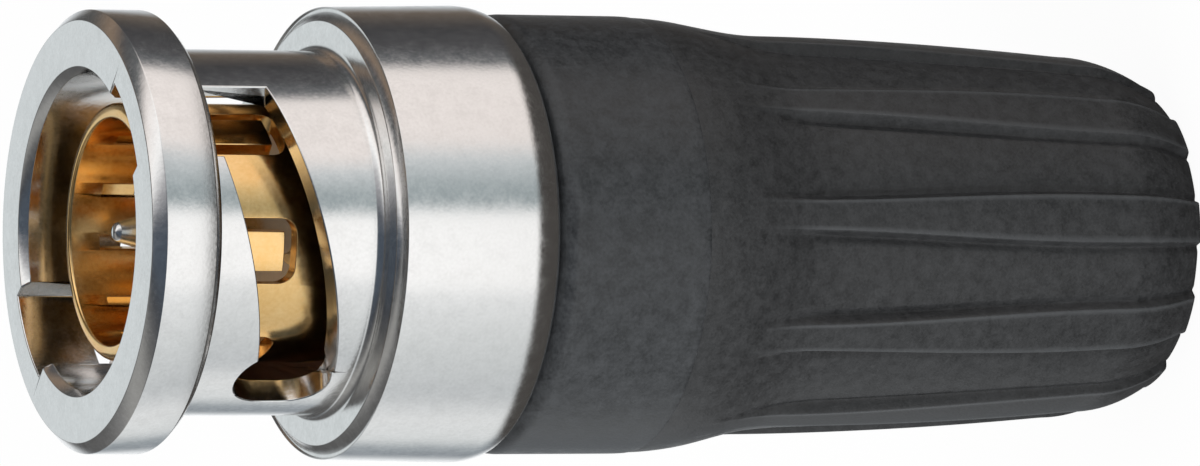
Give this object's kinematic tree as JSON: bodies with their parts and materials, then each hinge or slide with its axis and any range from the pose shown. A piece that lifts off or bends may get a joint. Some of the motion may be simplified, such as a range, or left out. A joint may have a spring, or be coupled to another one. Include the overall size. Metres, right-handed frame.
{
  "type": "bnc cable plug",
  "caption": "Rear-twist coaxial cable plug with a slotted bayonet sleeve, sprung contact core and ribbed plastic boot.",
  "frame": {"origin": "centre of the boot's flat rear face, on the plug's axis", "axes": "+Z along the axis towards the mating end; -Y faces the middle of one bayonet slot"},
  "size_m": [0.0144, 0.0144, 0.037],
  "materials": {
    "satin_nickel": "nickel-plated brass, satin",
    "gold_plate": "gold-plated copper alloy, bright",
    "spring_steel": "rolled strip, bright",
    "white_insulator": "turned, matt",
    "silicone": "moulded, matt",
    "hard_plastic": "moulded, fine texture",
    "soft_boot": "moulded, fine texture"
  },
  "bodies": {
    "shell": {"bayonet_sleeve": "satin_nickel", "clutch_collar": "hard_plastic", "boot": "soft_boot", "retaining_ring": "spring_steel"},
    "spring_pack": {"thrust_washer": "spring_steel", "wave_spring": "spring_steel"},
    "core": {"outer_contact": "gold_plate", "face_gasket": "silicone", "front_insulator": "white_insulator", "centre_pin": "satin_nickel", "rear_insulator": "white_insulator", "connector_body": "satin_nickel", "crimp_stem": "satin_nickel", "crimp_ferrule": "satin_nickel", "front_washer": "spring_steel"}
  },
  "joints": [
    {"name": "coupling_turn", "type": "hinge", "parent": "shell", "child": "spring_pack", "pos_m": [0, 0, 0], "axis": [0, 0, 1], "continuous": true},
    {"name": "coupling_pull", "type": "slide", "parent": "spring_pack", "child": "core", "axis": [0, 0, -1], "range_m": [0, 0.0011], "stiffness_N_per_m": 3000, "springref_m": -0.001, "deforming": ["wave_spring"]}
  ]
}
